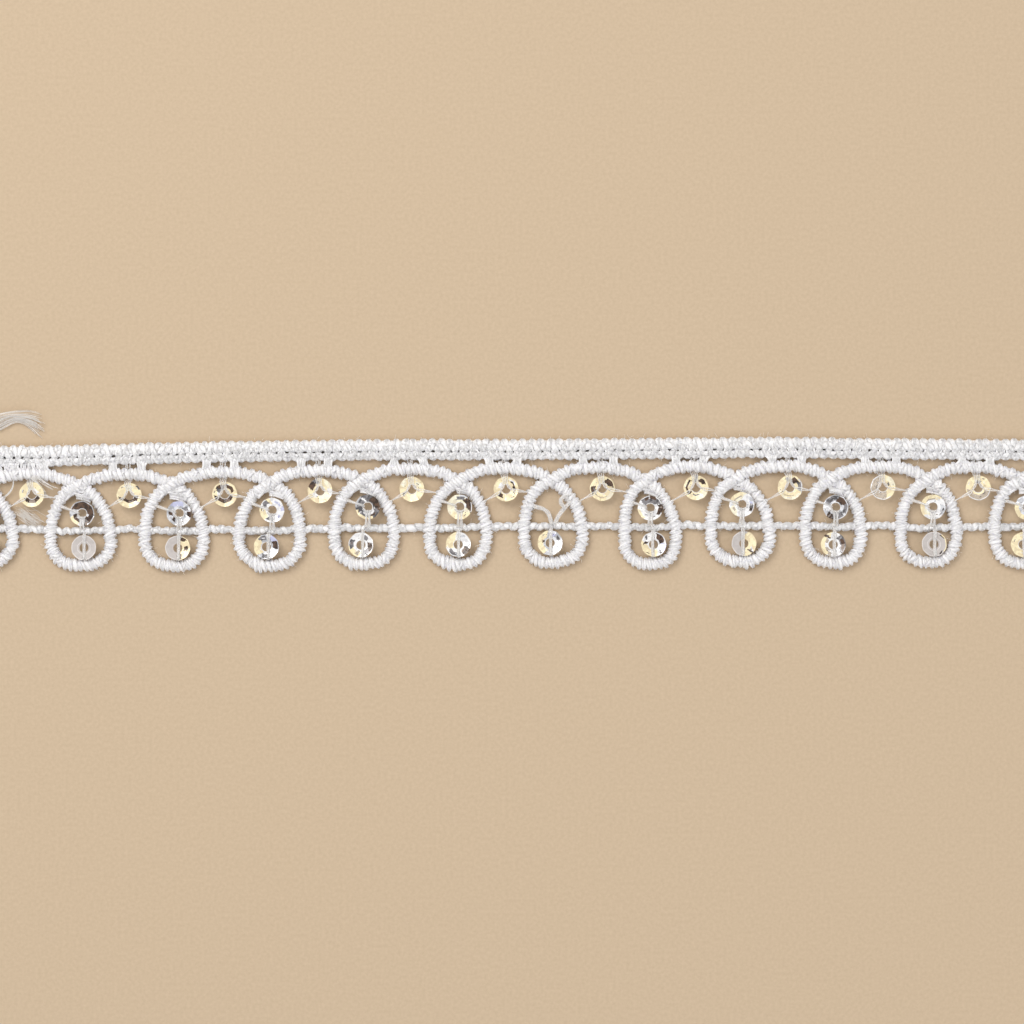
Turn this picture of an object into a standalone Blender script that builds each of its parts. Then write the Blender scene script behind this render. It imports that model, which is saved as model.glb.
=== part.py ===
"""A cut length of guipure lace trim with clear sequins, lying flat, face up.

The lace is one embroidered piece: a straight heading band, one long scallop cord that makes an arch, crosses
over itself, closes a drop-shaped loop and crosses again into the next arch, a thin bar through all the loops,
two short bridges from each arch up to the heading, and the sewing threads that carry the sequins. Each sequin
is a piece of its own, a shallow faceted cup with a hole.

+X runs along the trim, +Y points to the heading's edge and +Z is up from the back of the lace. The origin is
on the heading's underside, midway along. Sizes below are millimetres.
"""

import math

import bmesh
import bpy
import numpy as np
from mathutils import Vector
from mathutils.geometry import intersect_line_line_2d

MM = 0.001

# Widths and heights of the lace's runs. A bridge ends this far below the heading's middle line
CORD_WIDTH = 1.46
CORD_HEIGHT = 1.25
OVER_RISE = 0.34
UNDER_DIP = 0.16
CROSSING_REACH = 1.5
BAR_WIDTH = 0.84
BAR_HEIGHT = 0.86
BRIDGE_WIDTH = 1.05
BRIDGE_HEIGHT = 0.98
BRIDGE_END = 0.6
THREAD_WIDTH = 0.40
THREAD_LOW = 0.30
THREAD_HIGH = 0.62

# Sequins
SEQUIN_RADIUS = 1.46
SEQUIN_HOLE_RADIUS = 0.50
SEQUIN_THICKNESS = 0.16
SEQUIN_CUP_DEPTH = 0.16
SEQUIN_SIDES = 12
SEQUIN_BASE = 1.0

# Distance between two rings of points along each run, and the parts that each span of a curve is read in
CORD_STEP = 1.25
BAR_STEP = 2.8
HEADING_STEP = 5.5
SPLINE_PARTS = 24

# Cross sections as (share of the half width, share of the height), from one foot over the top to the other
CORD_SECTION = ((-0.62, 0), (-1, 0.42), (-0.62, 0.87), (0, 1), (0.62, 0.87), (1, 0.42), (0.62, 0))
BAR_SECTION = ((-0.8, 0), (-1, 0.45), (0, 1), (1, 0.45), (0.8, 0))
BRIDGE_SECTION = ((-1, 0), (-0.8, 0.8), (0, 1), (0.8, 0.8), (1, 0))

# The heading is two satin cords side by side, a wide one at the outer edge and a narrow one towards the
# scallops: distance from its middle line towards the scallops, height
HEADING_SECTION = (
    (-1.05, 0),
    (-1.24, 0.5),
    (-0.95, 1.12),
    (-0.22, 1.12),
    (0.20, 0.74),
    (0.50, 1.02),
    (0.98, 1.02),
    (1.24, 0.5),
    (1.05, 0),
)

# The heading's middle line, a shallow bow: x, y
HEADING_LINE = (
    (-66.4, -0.76),
    (-53.3, -0.72),
    (-36.0, -0.28),
    (-13.0, 0.00),
    (0, 0),
    (22, 0.20),
    (30, 0.26),
    (39, 0.15),
    (64.6, -0.07),
)

# One side of a drop-shaped loop, from its crossing to its lowest point: share of the depth, share of the half
# width
LOOP_SIDE = (
    (0, 0),
    (0.09, 0.42),
    (0.28, 0.79),
    (0.47, 0.95),
    (0.67, 1),
    (0.80, 0.95),
    (0.91, 0.77),
    (0.98, 0.42),
    (1, 0),
)

# The crossing's sideways offset fades out over this share of the depth
LOOP_LEAN_END = 0.55

# One side of an arch, from its crossing to its top: share of the half span, share of the rise
ARCH_SIDE = ((0, 0), (0.17, 0.40), (0.40, 0.74), (0.66, 0.94), (1, 1))

# Loops, left to right: middle x; half width to the cord's middle; the crossing's offset from the middle x;
# crossing y; lowest y of the cord's middle; y of the bar; centre of the upper sequin; centre of the lower
# sequin. One upper sequin has come off
LOOPS = (
    (-60.9, 3.40, -0.35, -4.30, -13.35, -9.20, (-60.5, -7.35), (-60.6, -11.27)),
    (-49.7, 3.52, -0.35, -4.23, -13.52, -9.43, (-49.5, -7.38), (-49.3, -11.36)),
    (-38.8, 3.54, -0.38, -4.12, -13.58, -9.45, (-38.32, -7.36), (-38.5, -11.40)),
    (-27.9, 3.58, 0.12, -3.89, -13.52, -9.43, (-27.6, -7.00), (-28.3, -11.25)),
    (-17.0, 3.52, -0.29, -3.66, -13.35, -9.10, (-16.6, -6.62), (-17.4, -11.05)),
    (-6.2, 3.35, 0.06, -3.72, -13.41, -9.05, (-6.0, -6.62), (-6.2, -11.00)),
    (4.8, 3.44, -0.38, -3.60, -13.18, -8.88, None, (4.4, -10.80)),
    (16.0, 3.05, -0.58, -3.72, -13.41, -9.00, (15.93, -6.75), (16.3, -10.98)),
    (26.5, 3.55, -0.61, -3.43, -13.06, -8.85, (26.5, -6.35), (26.7, -10.87)),
    (37.2, 3.38, -0.35, -3.48, -13.18, -8.94, (37.3, -6.66), (37.0, -11.00)),
    (48.1, 3.42, -0.12, -3.48, -13.12, -9.08, (48.5, -6.62), (48.6, -10.96)),
    (59.1, 3.46, -0.46, -3.60, -13.23, -8.99, (59.35, -6.70), (58.9, -11.00)),
)

# Arches, left to right: x of the top; y of the cord's middle there; x of the left and the right bridge; y of
# the bar; centre of the sequin. The first and the last arch are cut at their tops, where the trim ends
ARCHES = (
    (-66.4, -2.95, None, None, -9.20, None),
    (-55.7, -2.85, -57.3, -53.9, -9.20, (-55.3, -5.20)),
    (-44.5, -2.87, -46.0, -42.7, -9.20, (-44.1, -5.33)),
    (-33.6, -2.65, -35.2, -32.0, -9.25, (-33.1, -5.16)),
    (-22.6, -2.45, -24.3, -21.2, -9.14, (-22.1, -4.80)),
    (-11.9, -2.25, -13.6, -10.2, -9.05, (-11.5, -4.60)),
    (-1.0, -2.16, -2.6, 0.6, -8.87, (-0.7, -4.60)),
    (9.8, -2.10, 8.2, 11.7, -8.85, (10.4, -4.50)),
    (20.5, -1.98, 18.9, 22.1, -8.80, (21.2, -4.41)),
    (31.3, -1.93, 30.0, 33.4, -8.76, (32.0, -4.41)),
    (42.2, -1.98, 40.7, 44.3, -8.80, (42.7, -4.35)),
    (53.2, -2.04, 51.9, 55.1, -8.92, (53.7, -4.47)),
    (64.6, -2.10, None, None, -8.91, None),
)

# Directions in which the threads leave each sequin, in degrees from +X towards +Y
ARCH_THREADS = (97, 209, 352)
UPPER_THREADS = (90, 162, 270)
LOWER_THREADS = (90, 270)
LONGEST_THREAD = 9

# How far the sequins lean, in degrees about X and about Y, taken in turn along the trim. An upper one leans its
# top right side on the loop's cord, and a lower one its lowest side
ARCH_LEANS = ((3, -2), (-2, 4), (4, 3), (-4, -2), (1, -5), (-3, 3), (5, 1))
UPPER_LEANS = ((5, -5), (3, -4), (6, -3), (4, -6), (6, -5))
LOWER_LEANS = ((-5, 2), (-4, -3), (-6, 1), (-3, 3), (-5, -2))


def clear_scene():
    for thing in list(bpy.data.objects):
        bpy.data.objects.remove(thing, do_unlink=True)


def material(name, colour, roughness, alpha=1.0):
    made = bpy.data.materials.new(name)
    made.use_nodes = True
    shader = made.node_tree.nodes["Principled BSDF"]
    shader.inputs["Base Color"].default_value = (*colour, 1)
    shader.inputs["Roughness"].default_value = roughness
    shader.inputs["Metallic"].default_value = 0
    shader.inputs["Alpha"].default_value = alpha
    return made


def smooth_line(points, step):
    """Points about one step apart along a Catmull-Rom curve through the given ones."""
    points = [Vector(point) for point in points]
    padded = [2 * points[0] - points[1], *points, 2 * points[-1] - points[-2]]
    fine = []
    for before, start, end, after in zip(padded, padded[1:], padded[2:], padded[3:]):
        for part in np.linspace(0, 1, SPLINE_PARTS, endpoint=False):
            bend = (2 * before - 5 * start + 4 * end - after) * part**2
            twist = (3 * start - before - 3 * end + after) * part**3
            fine.append(start + ((end - before) * part + bend + twist) / 2)
    fine.append(points[-1])
    lengths = np.cumsum([0] + [(b - a).length for a, b in zip(fine, fine[1:])])
    count = max(2, round(lengths[-1] / step) + 1)
    places = np.linspace(0, lengths[-1], count)
    columns = [np.interp(places, lengths, column) for column in zip(*fine)]
    return [Vector(row) for row in zip(*columns)]


def sweep(mesh, line, section, half_width, heights):
    """Adds a closed bar that follows a line, its flat foot on z = 0. Heights is one number for each point."""
    rings = []
    for index, (point, height) in enumerate(zip(line, heights)):
        ahead = line[min(index + 1, len(line) - 1)] - line[max(index - 1, 0)]
        side = Vector((ahead.y, -ahead.x, 0)).normalized()
        base = Vector((*point.xy, 0))
        places = [base + side * across * half_width + Vector((0, 0, up * height)) for across, up in section]
        rings.append([mesh.verts.new(place * MM) for place in places])
    for low, high in zip(rings, rings[1:]):
        for here, there in zip(range(len(section)), [*range(1, len(section)), 0]):
            mesh.faces.new((low[here], low[there], high[there], high[here]))
    mesh.faces.new(rings[0][::-1])
    mesh.faces.new(rings[-1])


def thread(mesh, start, end):
    """Adds a straight thread of four sides between two points, clear of the surface below."""
    along = (end - start).normalized()
    side = Vector((along.y, -along.x, 0)) * THREAD_WIDTH / 2
    middle = (THREAD_LOW + THREAD_HIGH) / 2
    corners = ((0, THREAD_LOW), (1, middle), (0, THREAD_HIGH), (-1, middle))
    rings = []
    for point in (start, end):
        base = Vector((point.x, point.y, 0))
        places = [base + side * across + Vector((0, 0, up)) for across, up in corners]
        rings.append([mesh.verts.new(place * MM) for place in places])
    for here, there in ((0, 1), (1, 2), (2, 3), (3, 0)):
        mesh.faces.new((rings[0][here], rings[0][there], rings[1][there], rings[1][here]))
    mesh.faces.new(rings[0][::-1])
    mesh.faces.new(rings[1])


def crossing(loop):
    centre, half_width, lean, top = loop[:4]
    return Vector((centre + lean, top))


def loop_side(loop, side):
    """The cord's middle line down one side of a loop, from its crossing to its lowest point."""
    centre, half_width, lean, top, bottom = loop[:5]
    points = []
    for down, out in LOOP_SIDE:
        shift = lean * max(0, 1 - down / LOOP_LEAN_END)
        points.append(Vector((centre + shift + side * out * half_width, top + down * (bottom - top))))
    return points


def arch_side(arch, loop):
    """The cord's middle line from a crossing up to the top of the arch beside it."""
    top = Vector(arch[:2])
    foot = crossing(loop)
    points = []
    for along, rise in ARCH_SIDE:
        points.append(Vector((foot.x + along * (top.x - foot.x), foot.y + rise * (top.y - foot.y))))
    return points


def scallop_line():
    """The scallop cord's middle line, with a third number: +1 where it passes over itself and -1 under."""
    line = []
    for arch, loop, next_arch in zip(ARCHES, LOOPS, ARCHES[1:]):
        falling = arch_side(arch, loop)[::-1]
        right = loop_side(loop, 1)
        left = loop_side(loop, -1)[::-1]
        rising = arch_side(next_arch, loop)
        line += [(*point, 0) for point in falling[:-1]]
        line += [(*right[0], -1)]
        line += [(*point, 0) for point in right[1:] + left[1:-1]]
        line += [(*left[-1], 1)]
        line += [(*point, 0) for point in rising[1:-1]]
    line.append((*rising[-1], 0))
    return line


def scallop_heights(line):
    """The cord's height at each point: higher where it passes over itself, lower where it passes under."""
    marks = [(Vector(point[:2]), point[2]) for point in scallop_line() if point[2]]
    heights = []
    for point in line:
        place = Vector(point[:2])
        level = 0
        for spot, way in marks:
            near = 1 - (place - spot).length / CROSSING_REACH
            if near > 0 and way * point.z > 0:
                level = way * near
        heights.append(CORD_HEIGHT + (OVER_RISE if level > 0 else UNDER_DIP) * level)
    return heights


def heading_y(x):
    return float(np.interp(x, *zip(*HEADING_LINE)))


def add_heading(mesh):
    line = smooth_line(HEADING_LINE, HEADING_STEP)
    sweep(mesh, line, HEADING_SECTION, 1, [1] * len(line))


def bar_line():
    """The bar's middle line, through the middle of every loop and of every gap between them."""
    stops = []
    for arch, loop in zip(ARCHES, LOOPS):
        stops += [(arch[0], arch[4]), (loop[0], loop[5])]
    stops.append((ARCHES[-1][0], ARCHES[-1][4]))
    return smooth_line(stops, BAR_STEP)


def add_bridges(mesh):
    for top_x, top_y, *bridges in (arch[:4] for arch in ARCHES):
        for x in bridges:
            if x is None:
                continue
            line = [Vector((x, top_y)), Vector((x, heading_y(x) - BRIDGE_END))]
            sweep(mesh, line, BRIDGE_SECTION, BRIDGE_WIDTH / 2, [BRIDGE_HEIGHT] * 2)


def reach(start, degrees, lines):
    """Where a thread that leaves start in a direction meets the middle of the nearest cord."""
    way = Vector((math.cos(math.radians(degrees)), math.sin(math.radians(degrees))))
    met = []
    for line in lines:
        for a, b in zip(line, line[1:]):
            crossed = intersect_line_line_2d(start, start + way * LONGEST_THREAD, a.xy, b.xy)
            if crossed:
                met.append((crossed - start).length)
    return start + way * min(met)


def add_threads(mesh, lines):
    """Each sequin lies on threads that cross under its hole, from cord to cord."""
    threads = [(arch[5], ARCH_THREADS) for arch in ARCHES]
    threads += [(loop[6], UPPER_THREADS) for loop in LOOPS]
    threads += [(loop[7], LOWER_THREADS) for loop in LOOPS]
    for centre, directions in threads:
        if centre is None:
            continue
        ends = [reach(Vector(centre), degrees, lines) for degrees in directions]
        if len(ends) == 2:
            thread(mesh, *ends)
        else:
            for end in ends:
                thread(mesh, Vector(centre), end)


def build_lace(cloth):
    scallop = smooth_line(scallop_line(), CORD_STEP)
    bar = bar_line()
    cords = bmesh.new()
    sweep(cords, scallop, CORD_SECTION, CORD_WIDTH / 2, scallop_heights(scallop))
    rest = bmesh.new()
    add_heading(rest)
    sweep(rest, bar, BAR_SECTION, BAR_WIDTH / 2, [BAR_HEIGHT] * len(bar))
    add_bridges(rest)
    add_threads(rest, (scallop, bar))
    made = []
    for name, mesh in (("scallop_cord", cords), ("guipure_lace", rest)):
        bmesh.ops.recalc_face_normals(mesh, faces=mesh.faces)
        data = bpy.data.meshes.new(name)
        mesh.to_mesh(data)
        mesh.free()
        thing = bpy.data.objects.new(name, data)
        bpy.context.scene.collection.objects.link(thing)
        made.append(thing)
    cord, lace = made
    cord.hide_render = True
    cord.display_type = "WIRE"
    lace.data.materials.append(cloth)
    join = lace.modifiers.new("join", "BOOLEAN")
    join.operation = "UNION"
    join.solver = "EXACT"
    join.use_self = True
    join.object = cord
    return lace


def sequin_mesh(clear):
    """A shallow cup with a hole: flat-sided, low at the hole and high at the rim."""
    mesh = bmesh.new()
    profile = (
        (SEQUIN_HOLE_RADIUS, 0),
        (SEQUIN_RADIUS, SEQUIN_CUP_DEPTH),
        (SEQUIN_RADIUS, SEQUIN_CUP_DEPTH + SEQUIN_THICKNESS),
        (SEQUIN_HOLE_RADIUS, SEQUIN_THICKNESS),
    )
    rings = []
    for turn in range(SEQUIN_SIDES):
        angle = 2 * math.pi * turn / SEQUIN_SIDES
        way = Vector((math.cos(angle), math.sin(angle), 0))
        rings.append([mesh.verts.new((way * radius + Vector((0, 0, up))) * MM) for radius, up in profile])
    for here, there in zip(rings, rings[1:] + rings[:1]):
        for low, high in ((0, 1), (1, 2), (2, 3), (3, 0)):
            mesh.faces.new((here[low], there[low], there[high], here[high]))
    bmesh.ops.recalc_face_normals(mesh, faces=mesh.faces)
    data = bpy.data.meshes.new("sequin")
    mesh.to_mesh(data)
    mesh.free()
    data.materials.append(clear)
    return data


def place_sequins(data):
    rows = (
        ("arch", [arch[5] for arch in ARCHES[1:]], ARCH_LEANS),
        ("upper", [loop[6] for loop in LOOPS], UPPER_LEANS),
        ("lower", [loop[7] for loop in LOOPS], LOWER_LEANS),
    )
    for row, centres, leans in rows:
        for number, centre in enumerate(centres):
            if centre is None:
                continue
            lean = [math.radians(degrees) for degrees in leans[number % len(leans)]]
            sequin = bpy.data.objects.new(f"sequin_{row}_{number + 1:02d}", data)
            sequin.location = (centre[0] * MM, centre[1] * MM, SEQUIN_BASE * MM)
            sequin.rotation_mode = "ZYX"
            sequin.rotation_euler = (*lean, number)
            bpy.context.scene.collection.objects.link(sequin)


clear_scene()
build_lace(material("white_thread", (0.88, 0.88, 0.90), 0.55))
place_sequins(sequin_mesh(material("clear_sequin", (0.93, 0.90, 0.80), 0.12, 0.6)))
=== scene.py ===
"""Looks of the sequin trim: satin-stitched cords, sewing threads, faceted sequins and loose filaments.

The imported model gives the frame. The lace solid is replaced by a smooth white core with zigzag stitches over
it, and each sequin by a finer faceted cup at the same place. Sizes below are millimetres, in the frame of the
model: +X along the trim, +Y towards the heading's edge, +Z up.
"""

import math

import bpy
import numpy as np
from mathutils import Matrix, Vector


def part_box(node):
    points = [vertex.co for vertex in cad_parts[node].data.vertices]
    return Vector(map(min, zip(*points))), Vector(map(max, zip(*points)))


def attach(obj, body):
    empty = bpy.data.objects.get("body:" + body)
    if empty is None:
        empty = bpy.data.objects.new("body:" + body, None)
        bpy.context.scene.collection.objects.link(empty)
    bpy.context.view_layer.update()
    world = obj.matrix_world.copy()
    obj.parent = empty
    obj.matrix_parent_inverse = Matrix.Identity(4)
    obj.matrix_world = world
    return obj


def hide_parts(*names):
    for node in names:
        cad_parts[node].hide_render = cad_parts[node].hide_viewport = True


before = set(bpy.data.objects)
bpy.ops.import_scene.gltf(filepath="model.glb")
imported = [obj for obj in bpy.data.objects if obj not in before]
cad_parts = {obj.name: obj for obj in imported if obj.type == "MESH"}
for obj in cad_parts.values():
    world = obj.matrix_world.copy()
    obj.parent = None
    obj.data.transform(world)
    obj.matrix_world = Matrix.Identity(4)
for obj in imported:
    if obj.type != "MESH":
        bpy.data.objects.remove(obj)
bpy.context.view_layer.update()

MM = 0.001
TURN = 2 * math.pi
UP = np.array([0, 0, 1.0])
rng = np.random.default_rng(26)

# The photograph's frame: width seen, the y under its middle, and the height of that width in metres
VIEW_WIDTH = 118.15
VIEW_MIDDLE_Y = -7.23
VIEW_HEIGHT = 0.0006
LENS = 100
SENSOR = 36

# The floor's half size in metres, and the lowest point of any strand above it
FLOOR_HALF = 0.9
LOWEST = 0.01

# The heading's middle line: x, y
HEADING_LINE = (
    (-66.4, -0.76), (-53.3, -0.72), (-36.0, -0.28), (-13.0, 0.00), (0, 0),
    (22, 0.20), (30, 0.26), (39, 0.15), (64.6, -0.07),
)

# One side of a loop: shares of depth and half width. One side of an arch: shares of half span and rise
LOOP_SIDE = (
    (0, 0), (0.09, 0.42), (0.28, 0.79), (0.47, 0.95), (0.67, 1),
    (0.80, 0.95), (0.91, 0.77), (0.98, 0.42), (1, 0),
)
LOOP_LEAN_END = 0.55
ARCH_SIDE = ((0, 0), (0.17, 0.40), (0.40, 0.74), (0.66, 0.94), (1, 1))

# Loops: middle x; half width; the crossing's offset; crossing y; lowest y; y of the bar
LOOPS = (
    (-60.9, 3.40, -0.35, -4.30, -13.35, -9.20),
    (-49.7, 3.52, -0.35, -4.23, -13.52, -9.43),
    (-38.9, 3.46, -0.38, -4.12, -13.58, -9.45),
    (-27.9, 3.58, 0.12, -3.89, -13.52, -9.43),
    (-17.0, 3.52, -0.29, -3.66, -13.35, -9.10),
    (-6.2, 3.35, 0.06, -3.72, -13.41, -9.05),
    (4.8, 3.44, -0.38, -3.60, -13.18, -8.88),
    (16.0, 3.05, -0.58, -3.72, -13.41, -9.00),
    (26.4, 3.45, -0.61, -3.43, -13.06, -8.85),
    (37.12, 3.30, -0.35, -3.48, -13.18, -8.94),
    (48.1, 3.30, -0.12, -3.48, -13.12, -9.08),
    (59.1, 3.46, -0.46, -3.60, -13.23, -8.99),
)

# Arches: x and y of the top; x of the left and the right bridge; y of the bar
ARCHES = (
    (-66.4, -2.95, None, None, -9.20),
    (-55.7, -2.85, -57.3, -53.9, -9.20),
    (-44.5, -2.87, -46.0, -42.7, -9.20),
    (-33.6, -2.65, -35.2, -32.0, -9.25),
    (-22.6, -2.45, -24.3, -21.2, -9.14),
    (-11.9, -2.25, -13.6, -10.2, -9.05),
    (-1.0, -2.16, -2.6, 0.6, -8.87),
    (9.8, -2.10, 8.2, 11.7, -8.85),
    (20.5, -1.98, 18.9, 22.1, -8.80),
    (31.3, -1.93, 30.0, 33.4, -8.76),
    (42.2, -1.98, 40.7, 44.3, -8.80),
    (53.2, -2.04, 51.9, 55.1, -8.92),
    (64.6, -2.10, None, None, -8.91),
)

# How much the stitched loops are slimmer than the solid's on their right side, and twice that at the bottom
LOOP_TRIM = 0.06

# Places on the cord where a few stitches stand out, as knots do
KNOTS = ((-29.3, -13.4), (-7.0, -13.3), (27.0, -12.9), (37.7, -13.0))

KNOT_REACH = 0.26
KNOT_SPREAD = 0.45

# How far round each crossing the cord rises or sinks, and how far
CROSSING_REACH = 1.7
OVER_LIFT = 0.27
UNDER_LIFT = -0.12

# Lengths of the slow waves by which a cord strays from its line
WAVE_LENGTHS = (3.1, 4.9, 7.7)

# Stitch pitch on the arches and on the loops, and the y from where and over which it changes
ARCH_PITCH = 0.74
LOOP_PITCH = 0.56
PITCH_CHANGE_Y = -3.6
PITCH_CHANGE = 1.4
HEADING_PITCH = 1.05
BAR_PITCH = 1.04

# How much wider apart the stitches underneath are
UNDER_SPREAD = 1.7

# How unevenly stitches are sewn: their turns along and across, their rise, and their width
TURN_JITTER = 0.045
REACH_JITTER = 0.030
RISE_JITTER = 0.05
WIDTH_JITTER = 0.08

# How far a stitch runs on under the cord past each turn, as a share of the way across
TUCK = 0.16

# Directions of the sewing threads from each sequin, in degrees from +X towards +Y
ARCH_THREADS = (97, 209, 352)
UPPER_THREADS = (90, 162, 270)
LOWER_THREADS = (90, 270)

# How far right of each lower sequin's middle its thread runs
LOWER_ASIDE = (0.10, 0.06, 0.12, 0.24, 0.24, 0.06, 0.10, -0.08, -0.12, 0.16, 0.10, 0.10)

# Number of the loop that has lost its upper sequin, from 0
TORN_LOOP = 6

# Where the left-most whole arch is sewn against the heading: from x, to x
CLOSED = (-59.9, -53.6)

# How far the sequins lean, in degrees about X and about Y, taken in turn along the trim
ARCH_LEANS = ((3, -2), (-2, 4), (4, 3), (-4, -2), (1, -5), (-3, 3), (5, 1))
UPPER_LEANS = ((5, -5), (3, -4), (6, -3), (4, -6), (6, -5))
LOWER_LEANS = ((-5, 2), (-4, -3), (-6, 1), (-3, 3), (-5, -2))

# Films on the sequins' facets: colour, metallic, roughness, alpha, how much the tone varies, and gloss coat.
# Except for clear, the colours are painted reflections of light and dark surroundings; gold and pale are
# partly the film's own tint as well. The tone that varies from cell to cell is painted sparkle
FILMS_WITH_PAINTED_REFLECTIONS = {
    "gold": ((0.97, 0.82, 0.54), 0.10, 0.26, 0.96, 0.16, 0.2),
    "pale": ((0.99, 0.90, 0.70), 0.10, 0.22, 0.93, 0.14, 0.3),
    "silver": ((0.78, 0.79, 0.83), 0.40, 0.14, 0.95, 0.36, 0.6),
    "white": ((0.93, 0.92, 0.94), 0.15, 0.16, 0.97, 0.20, 0.6),
    "violet": ((0.64, 0.66, 0.88), 0.35, 0.14, 0.95, 0.22, 0.6),
    "grey": ((0.22, 0.21, 0.22), 0.25, 0.16, 0.93, 0.55, 0.6),
    "dark": ((0.090, 0.050, 0.030), 0.10, 0.14, 0.96, 0.60, 0.35),
    "milky": ((0.58, 0.54, 0.52), 0.0, 0.36, 0.88, 0.05, 0.0),
    "pearl": ((0.74, 0.70, 0.68), 0.0, 0.30, 0.94, 0.05, 0.0),
    "clear": ((0.72, 0.66, 0.58), 0.0, 0.08, 0.36, 0.20, 0.6),
}

# Looks of the sequins, left to right: the film over all, then patches, each a film, from and to in degrees
# counter-clockwise from +X, and inner to outer radius in hundredths. The last patch over a facet counts.
# The films and patches paint each sequin's light and dark reflections, which stay in place from every side
ARCH_LOOKS = (
    "gold, dark 205-338 60-103, white 20-80 50-80, pale 80-120 60-90",
    ("gold, dark 196-214 72-130, dark 222-332 50-92, dark 315-355 60-112, grey 40-66 128-150, "
     "white 300-318 100-146, pale 60-120 70-120"),
    ("gold, grey 85-160 58-116, dark 14-80 82-124, dark 212-348 60-104, dark 192-222 70-130, "
     "dark 100-140 80-130, white 160-190 60-90"),
    ("gold, dark 122-174 85-146, grey 95-122 90-146, white 200-240 60-100, white 350-20 90-146, "
     "pale 20-60 90-146"),
    "gold, pale 130-170 100-146, dark 200-214 70-130, pale 20-60 70-120",
    ("gold, dark 20-62 95-116, dark 212-246 72-122, white 120-170 60-100, dark 352-20 80-116, "
     "white 20-66 116-130"),
    ("gold, dark 16-74 76-134, dark 163-204 80-138, grey 174-192 94-108, pale 300-350 110-146, "
     "clear 225-300 108-116"),
    ("gold, dark 25-72 80-130, dark 122-198 97-124, dark 206-226 70-125, pale 290-350 90-146, "
     "grey 250-300 85-96, grey 84-100 70-146"),
    ("gold, dark 34-80 62-130, grey 98-118 80-120, grey 345-34 96-136, white 345-60 136-150, "
     "pale 215-322 120-150, clear 235-300 98-108"),
    ("gold, clear 105-300 60-138, white 105-300 138-150, grey 150-190 72-82, pale 15-75 100-146, "
     "grey 20-50 70-90"),
    "gold, clear 195-350 82-138, white 195-350 138-150, grey 300-330 90-100, dark 60-100 62-90",
)
UPPER_LOOKS = (
    "silver, dark 0-70 80-146, gold 190-260 110-150",
    ("dark, gold 185-262 114-150, silver 150-188 62-146, white 255-284 62-146, silver 205-255 58-80, "
     "silver 284-150 140-150, silver 325-350 58-80"),
    ("silver, dark 165-195 80-130, violet 60-130 90-146, white 260-340 90-146, grey 20-50 70-120, "
     "dark 215-240 70-120, dark 345-15 100-146"),
    ("white, violet 300-330 100-125, violet 350-12 110-146, violet 28-75 100-125, grey 110-160 90-140, "
     "gold 95-112 70-146, gold 175-235 85-150, grey 240-262 70-130, silver 262-275 90-130"),
    ("grey, dark 355-75 75-146, white 110-125 62-130, gold 200-300 125-150, white 225-330 60-95, "
     "dark 285-320 95-120, silver 130-190 130-146"),
    ("pale, dark 345-62 85-146, gold 215-320 90-150, grey 62-110 90-130, silver 62-100 130-150, "
     "white 0-40 60-84, white 345-30 135-150"),
    None,
    ("white, grey 30-150 62-140, dark 50-85 115-146, dark 345-25 100-146, gold 195-250 125-150, "
     "dark 315-345 95-138, dark 100-125 110-140"),
    ("white, pale 80-175 60-146, clear 92-160 92-110, gold 85-165 110-146, grey 335-10 95-140, "
     "pale 185-235 90-150, silver 20-50 110-146, violet 10-25 100-130, dark 318-335 110-140, "
     "clear 200-222 100-120"),
    ("silver, dark 15-82 66-140, grey 320-15 95-135, grey 82-165 82-138, white 170-205 70-146, "
     "dark 213-255 90-146, grey 255-318 80-138"),
    ("white, gold 60-235 100-150, clear 75-140 92-102, pale 195-250 80-114, silver 330-20 90-146, "
     "grey 300-318 120-130"),
    "silver, dark 20-70 90-146, gold 150-250 100-150",
)
LOWER_LOOKS = (
    "silver, grey 320-40 80-146, gold 140-220 100-146",
    "milky, pearl 0-360 72-80, pearl 0-360 136-150",
    ("milky, gold 282-80 50-150, dark 340-12 72-122, dark 46-76 95-135, dark 284-300 80-140, "
     "pale 304-330 110-146, pearl 100-260 136-150"),
    ("silver, gold 130-235 66-150, grey 85-130 90-140, dark 350-42 82-136, violet 42-75 100-146, "
     "grey 240-275 90-138, white 290-340 80-146"),
    ("white, gold 195-270 90-150, grey 142-196 90-138, grey 300-330 80-138, dark 330-18 80-138, "
     "grey 38-66 80-130, clear 238-260 70-130"),
    ("white, gold 110-205 60-150, grey 205-250 96-138, dark 296-348 75-142, silver 55-80 100-130, "
     "silver 250-290 100-146"),
    ("silver, gold 110-250 85-150, grey 10-40 90-130, white 270-320 80-146, violet 55-85 80-120, "
     "dark 160-180 70-100"),
    ("white, gold 175-300 66-150, dark 8-68 74-134, violet 325-8 90-146, grey 136-150 90-140, "
     "dark 160-178 70-120, grey 312-322 90-140"),
    ("milky, gold 275-85 50-150, dark 300-312 80-146, dark 318-326 100-150, white 326-336 90-150, "
     "pearl 100-260 136-150"),
    ("white, gold 108-250 102-150, dark 112-128 90-142, clear 128-162 70-102, clear 198-232 70-102, "
     "clear 232-250 90-142, grey 318-60 82-142, dark 335-40 96-134"),
    ("milky, pearl 0-360 72-80, pearl 0-360 136-150, gold 330-55 138-150, dark 308-328 120-138, "
     "dark 20-50 128-138"),
    "gold, pale 20-90 90-146, dark 310-340 70-120",
)

# Corners round a sequin, the radii of its rings, and how far each ring takes the facets' straight edges
SECTORS = 60
RING_RADII = (0.53, 0.59, 0.66, 0.74, 0.82, 0.90, 0.98, 1.06, 1.14, 1.22, 1.30, 1.38, 1.46)
RING_STRAIGHT = (0, 0, 0.4, 0.8, 1, 1, 1, 1, 1, 1, 0.9, 0.6, 0.35)

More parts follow.
